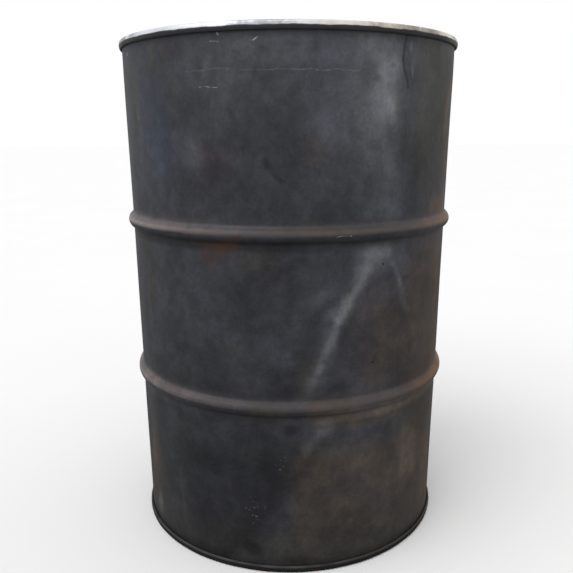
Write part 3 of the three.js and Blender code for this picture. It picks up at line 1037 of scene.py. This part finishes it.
def scratches(wall):
    """Bright scratches and specks in one mask, with one painted glint on the upper hoop's crest."""
    m = wall.m
    broken = m.ramp(m.noise(wall.place, 70.0, 3.0, 0.7), 0.44, 0.6)
    lines = (
        ((-30.8, 814), (-17, 816), 4.0, 0.16),
        ((-13.5, 813), (-9, 813), 3.5, 0.16),
        ((-9, 813), (20, 812.5), 2.6, 0.17),
        ((3, 812.5), (17, 812.5), 2.6, 0.2),
        ((-26.4, 793), (-20.6, 791), 2.4, 0.6),
        ((-11.6, 850), (-9.6, 851), 2.4, 0.3),
        ((-9.6, 851), (-8.5, 854.5), 2.6, 0.7),
        ((-22.4, 852), (-19.8, 851), 2.6, 0.6),
        ((-20.0, 860.5), (-19.8, 859), 4.0, 0.9),
        ((-63.4, 851), (-63.4, 849), 5.0, 0.8),
        ((-56.6, 756), (-56.2, 751), 4.5, 0.5),
        # A painted glint on the upper hoop's crest.
        ((13.9, 581.6), (18.3, 582.0), 2.2, 1.0),
        ((120, 640), (140, 655), 1.8, 0.8),
        ((-150, 500), (-141, 470), 1.8, 0.8),
        ((-168, 780), (-150, 776), 1.8, 0.7),
        ((90, 140), (101, 160), 2.0, 0.7),
    )
    total = m.times(broken, 0.0)
    for start, end, wide, amount in lines:
        total = m.math("MAXIMUM", total, m.times(wall.streak(start, end, wide, 0.8, True), amount))
    total = m.times(total, m.ramp(broken, 0.0, 1.0, 0.4, 1.0))
    specks = m.ramp(m.noise(wall.place, 230.0, 1.0, 0.5), 0.72, 0.8)
    near = m.math("MAXIMUM", wall.patch((-3.5, 205), 30, 60), wall.patch((-12.5, 116), 50, 60))
    near = m.math("MAXIMUM", near, m.times(m.ramp(m.noise(wall.place, 6.0, 2.0), 0.56, 0.7), 0.4))
    fine = m.ramp(m.noise(wall.place, 200.0, 2.0, 0.5), 0.6, 0.7)
    sprinkle = m.times(fine, wall.patch((-3.5, 205), 26, 50))
    sprinkle = m.math("MAXIMUM", sprinkle, m.times(fine, wall.patch((-12.5, 112), 50, 70)))
    specks = m.math("MAXIMUM", m.times(specks, near), m.times(sprinkle, 0.6))
    return m.math("MAXIMUM", total, m.times(specks, 0.5))


def head_material():
    """The same dark steel on the heads, rubbed bright along the top chime, with painted shade on the
    chimes' outer faces and near the floor.
    """
    m = Material("head_steel")
    place = m.place()
    x, y, z = m.apart(place)
    radius = m.vector("LENGTH", m.together(x, y))
    cloud = m.noise(place, 5.0, 6.0, 0.6, 0.5)
    mottle = m.noise(place, 24.0, 6.0, 0.6)
    grain = m.noise(place, 180.0, 4.0, 0.6)
    colour = m.mix(m.ramp(cloud, 0.38, 0.62), (0.042, 0.042, 0.049, 1), (0.075, 0.071, 0.068, 1))
    stains = m.times(m.ramp(mottle, 0.45, 0.66), m.ramp(cloud, 0.4, 0.6))
    colour = m.mix(m.times(stains, 0.7), colour, (0.085, 0.045, 0.028, 1))

    # The chimes: painted shade darkens their outer faces; the top one is worn to bare metal over its
    # upper half.
    outside = m.ramp(radius, WALL - 1 * MM, WALL + 1 * MM)
    colour = m.mix(m.times(outside, 0.85), colour, (0.034, 0.033, 0.037, 1))
    patchy = m.ramp(m.noise(place, 11.0, 5.0, 0.62), 0.34, 0.52)
    edge = m.math("MULTIPLY_ADD", m.noise(place, 30.0, 3.0), 0.004, HEIGHT - 9.2 * MM)
    height_over = m.math("SUBTRACT", z, edge)
    upper = m.ramp(height_over, 0.0, 1.6 * MM)
    crown = m.ramp(radius, WALL - 5 * MM, WALL - 2 * MM)
    worn = m.times(upper, crown, m.ramp(patchy, 0.0, 1.0, 0.45, 1.0))
    low_fold = m.times(m.ramp(z, 9.0 * MM, 10.4 * MM), m.ramp(z, 13.5 * MM, 12.4 * MM), outside)
    worn = m.math("MAXIMUM", worn, m.times(low_fold, m.ramp(patchy, 0.0, 1.0, 0.06, 0.16)))
    side = m.ramp(x, -60 * MM, 160 * MM)
    silver = m.mix(side, (0.86, 0.89, 0.96, 1), (0.86, 0.80, 0.70, 1))
    dull = m.mix(side, (0.72, 0.72, 0.75, 1), (0.65, 0.58, 0.50, 1))
    bare = m.mix(m.ramp(mottle, 0.42, 0.66), silver, dull)
    colour = m.mix(worn, colour, bare)
    # Painted shade: the bottom chime's face goes near black towards the floor.
    low_chime = m.times(outside, m.ramp(z, 30 * MM, 20 * MM))
    colour = m.mix(m.times(low_chime, 0.6), colour, (0.012, 0.012, 0.010, 1))
    rough = m.math("MULTIPLY_ADD", worn, -0.22, m.ramp(mottle, 0.36, 0.64, 0.46, 0.62))
    rough = m.math("MULTIPLY_ADD", low_chime, 0.2, rough)
    metal = m.math("MULTIPLY_ADD", worn, 0.45, 0.4)
    m.bump(m.plus(m.times(mottle, 0.5), m.times(grain, 0.25)), 0.0005, 0.5)
    return m.finish(
        Base_Color=colour, Roughness=rough, Metallic=metal,
        Specular_IOR_Level=m.math("MULTIPLY_ADD", low_chime, -0.4, 0.5))


def closure_material():
    """Dull zinc plating with white bloom and specks of rust."""
    m = Material("closure_steel")
    place = m.place()
    bloom = m.noise(place, 60.0, 6.0, 0.65)
    grain = m.noise(place, 600.0, 3.0, 0.6)
    colour = m.mix(m.ramp(bloom, 0.35, 0.7), (0.30, 0.29, 0.26, 1), (0.46, 0.45, 0.42, 1))
    rust = m.ramp(m.noise(place, 130.0, 6.0, 0.7), 0.58, 0.7)
    colour = m.mix(m.times(rust, 0.75), colour, (0.13, 0.06, 0.03, 1))
    metal = m.math("MULTIPLY_ADD", rust, -0.7, 0.9)
    rough = m.math("MULTIPLY_ADD", rust, 0.3, m.ramp(bloom, 0.3, 0.7, 0.34, 0.48))
    m.bump(m.plus(m.times(bloom, 0.4), m.times(grain, 0.2)), 0.0002, 0.5)
    return m.finish(Base_Color=colour, Roughness=rough, Metallic=metal)


def soft_material(name, dark, pale, scale, rough):
    """Matt rubber or sealing compound, a little uneven."""
    m = Material(name)
    place = m.place()
    patchy = m.noise(place, scale, 5.0, 0.6)
    m.bump(m.noise(place, scale * 8, 3.0, 0.6), 0.0001, 0.5)
    return m.finish(
        Base_Color=m.mix(m.ramp(patchy, 0.3, 0.7), dark, pale),
        Roughness=m.ramp(patchy, 0.3, 0.7, rough - 0.06, rough + 0.06),
    )


# ---- The drum's pieces ----


def make_drum():
    shell_steel, head_steel, closure_steel = shell_material(), head_material(), closure_material()
    rubber = soft_material("gasket_rubber", grey(0.014), grey(0.028), 90.0, 0.7)
    compound = soft_material("seam_compound", (0.12, 0.08, 0.05, 1), (0.18, 0.13, 0.09, 1), 60.0, 0.75)

    shell = turned(sheet_outline(shell_line()), shell_angles(), shell_nudge)
    piece("drum_shell", [shell], shell_steel, "drum", "shell")

    rim = turned(sheet_outline(rim_line()), ROUND, chime_nudge, closed=False)
    piece("drum_top_head", [rim, panel()], head_steel, "drum", "top_head")

    edge = rim_line()
    slope = np.linspace(CENTRE_RADIUS, CENTRE_RADIUS - CENTRE_SLOPE, 7)
    drop = CENTRE_RISE * smoothstep(-slope, -CENTRE_RADIUS, CENTRE_SLOPE - CENTRE_RADIUS)
    middle = PANEL_TOP - SHEET / 2
    inner = np.column_stack([slope, middle + drop])[::-1]
    whole = joined(
        [(0, middle + CENTRE_RISE)],
        straight((20 * MM, middle + CENTRE_RISE), inner[0], 15 * MM),
        inner,
        straight(inner[-1], edge[0], 15 * MM),
        edge,
    )
    bottom = turned(sheet_outline(upside_down(whole)), ROUND, chime_nudge)
    piece("drum_bottom_head", [bottom], head_steel, "drum", "bottom_head")

    for where in ("top", "bottom"):
        low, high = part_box(f"{where}_seam_compound")
        half = LAYER - SHEET / 2 - RUBBER_GAP
        inner, outer = HEAD_HOOK_LINE - half, HEAD_HOOK_LINE + half
        ring = ring_mesh(inner, outer, low.z, high.z, 0.2 * MM, angles=ROUND)
        node = f"{where}_seam_compound"
        piece(f"drum_{node}", [ring], compound, "drum", node)

    for c in CLOSURES:
        piece(f"{c.name}_bung_flange", [flange_mesh(c)], closure_steel, "drum",
              f"{c.name}_flange")
        for kind, body in (("flange_gasket", "drum"), ("plug_gasket", f"{c.name}_plug_gasket")):
            node = f"{c.name}_{kind}"
            low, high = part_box(node)
            inner = c.neck + RUBBER_GAP if kind == "flange_gasket" else c.bore
            ring = ring_mesh(inner, (high.y - low.y) / 2, low.z, high.z, 0.5 * MM, c.x)
            piece(f"{c.name}_bung_{kind}", [ring], rubber, body, node)
        cup, inside, floor = plug_meshes(c)
        plug = piece(f"{c.name}_bung_plug", [cup], closure_steel, f"{c.name}_plug",
                     f"{c.name}_plug")
        fused(plug, [lug_mesh(c, inside, floor, side) for side in (-1, 1)])


# ---- Floor, light and camera ----


def make_stage():
    size = 40.0
    mesh = bpy.data.meshes.new("floor")
    corners = [(-size, -size, 0), (size, -size, 0), (size, size, 0), (-size, size, 0)]
    mesh.from_pydata(corners, [], [(0, 1, 2, 3)])
    floor = bpy.data.objects.new("floor", mesh)
    floor.location.z = -0.0002
    # The floor takes shadows but throws little light up, like a far-off backdrop.
    floor.visible_diffuse = False
    floor.visible_glossy = False
    bpy.context.collection.objects.link(floor)
    m = Material("floor")
    tone = m.ramp(m.noise(m.place(), 1.5, 3.0), 0.3, 0.7)
    mesh.materials.append(m.finish(
        Base_Color=m.mix(tone, grey(0.88), grey(0.89)), Roughness=0.9, Specular_IOR_Level=0.1))

    world = bpy.data.worlds.new("studio")
    bpy.context.scene.world = world
    world.use_nodes = True
    tree = world.node_tree
    background = tree.nodes["Background"]
    seen = tree.nodes.new("ShaderNodeLightPath").outputs["Is Camera Ray"]
    up = tree.nodes.new("ShaderNodeSeparateXYZ")
    tree.links.new(tree.nodes.new("ShaderNodeTexCoord").outputs["Generated"], up.inputs[0])
    sky = tree.nodes.new("ShaderNodeMapRange")
    for name, value in (("From Min", -0.3), ("From Max", 0.3), ("To Min", 0.3), ("To Max", 0.85)):
        sky.inputs[name].default_value = value
    tree.links.new(up.outputs["Z"], sky.inputs["Value"])
    pick = tree.nodes.new("ShaderNodeMix")
    pick.inputs["B"].default_value = 1.0
    tree.links.new(seen, pick.inputs["Factor"])
    tree.links.new(sky.outputs[0], pick.inputs["A"])
    tree.links.new(pick.outputs[0], background.inputs["Strength"])
    background.inputs["Color"].default_value = (1, 1, 1, 1)

    sun = bpy.data.lights.new("key", "SUN")
    sun.energy, sun.angle = 1.1, math.radians(50)
    lamp = bpy.data.objects.new("key", sun)
    lamp.rotation_euler = Vector((-0.55, -0.5, 1.0)).to_track_quat("Z", "Y").to_euler()
    bpy.context.collection.objects.link(lamp)


def make_camera():
    """A camera level with the middle of the drum's upper third, tilted down."""
    data = bpy.data.cameras.new("camera")
    data.sensor_width = 36
    data.lens = 41.15
    # The photograph is cut off centre: the lens's axis meets it right of and below its middle.
    data.shift_x, data.shift_y = -0.0035, 0.0759
    camera = bpy.data.objects.new("camera", data)
    distance, height = 1.2545, 0.7285
    tilt_down, roll = math.radians(16.73), math.radians(0.229)
    camera.location = (0, -distance, height)
    camera.rotation_euler = (TURN / 4 - tilt_down, roll, 0)
    bpy.context.collection.objects.link(camera)
    bpy.context.scene.camera = camera


make_drum()
make_stage()
make_camera()
bpy.context.scene.view_settings.view_transform = "Standard"
